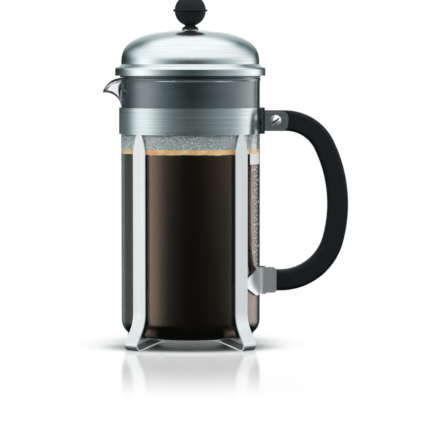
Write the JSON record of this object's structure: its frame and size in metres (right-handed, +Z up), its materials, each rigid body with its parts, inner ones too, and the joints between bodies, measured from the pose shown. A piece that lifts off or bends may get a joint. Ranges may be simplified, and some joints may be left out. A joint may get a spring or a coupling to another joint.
{
  "type": "french press",
  "caption": "Glass coffee press in a steel strap frame with a black D handle, domed lid, ball knob and sliding mesh filter plunger.",
  "frame": {"origin": "on the table surface, under the beaker's axis", "axes": "+Z up along the beaker's axis, +X towards the handle, -X towards the pouring lip"},
  "size_m": [0.1693, 0.1034, 0.2409],
  "materials": {
    "frame_steel": "fine satin, brushed along the strip",
    "lid_steel": "polished with a soft circular grain",
    "bolt_steel": "polished",
    "rod_steel": "turned, bright",
    "filter_steel": "stamped and woven",
    "handle_black": "satin black moulding",
    "liner_grey": "dark grey satin moulding",
    "beaker_glass": "clear, fire polished rim",
    "insert_brass": "machined"
  },
  "bodies": {
    "frame": {"collar_band": "frame_steel", "base_plate": "frame_steel", "leg_front_left": "frame_steel", "leg_rear_left": "frame_steel", "leg_front_right": "frame_steel", "leg_rear_right": "frame_steel", "handle": "handle_black", "handle_bolt": "bolt_steel", "handle_nut": "bolt_steel"},
    "beaker": {"glass_beaker": "beaker_glass"},
    "lid_carrier": {"lid_bush": "rod_steel", "bush_nut": "rod_steel"},
    "lid": {"lid_dome": "lid_steel", "lid_liner": "liner_grey"},
    "plunger": {"knob": "handle_black", "knob_insert": "insert_brass", "plunger_rod": "rod_steel", "filter_hub": "rod_steel", "spiral_plate": "filter_steel", "edge_spring": "filter_steel", "filter_mesh": "filter_steel", "cross_plate": "filter_steel", "filter_nut": "rod_steel"}
  },
  "joints": [
    {"name": "beaker_lift", "type": "slide", "parent": "frame", "child": "beaker", "axis": [0, 0, 1], "range_m": [0, 0.18]},
    {"name": "lid_lift", "type": "slide", "parent": "beaker", "child": "lid_carrier", "axis": [0, 0, 1], "range_m": [0, 0.19]},
    {"name": "lid_turn", "type": "hinge", "parent": "lid_carrier", "child": "lid", "pos_m": [0, 0, 0.1855], "axis": [0, 0, 1], "continuous": true},
    {"name": "plunger_slide", "type": "slide", "parent": "lid_carrier", "child": "plunger", "axis": [0, 0, 1], "range_m": [0, 0.1325]}
  ]
}
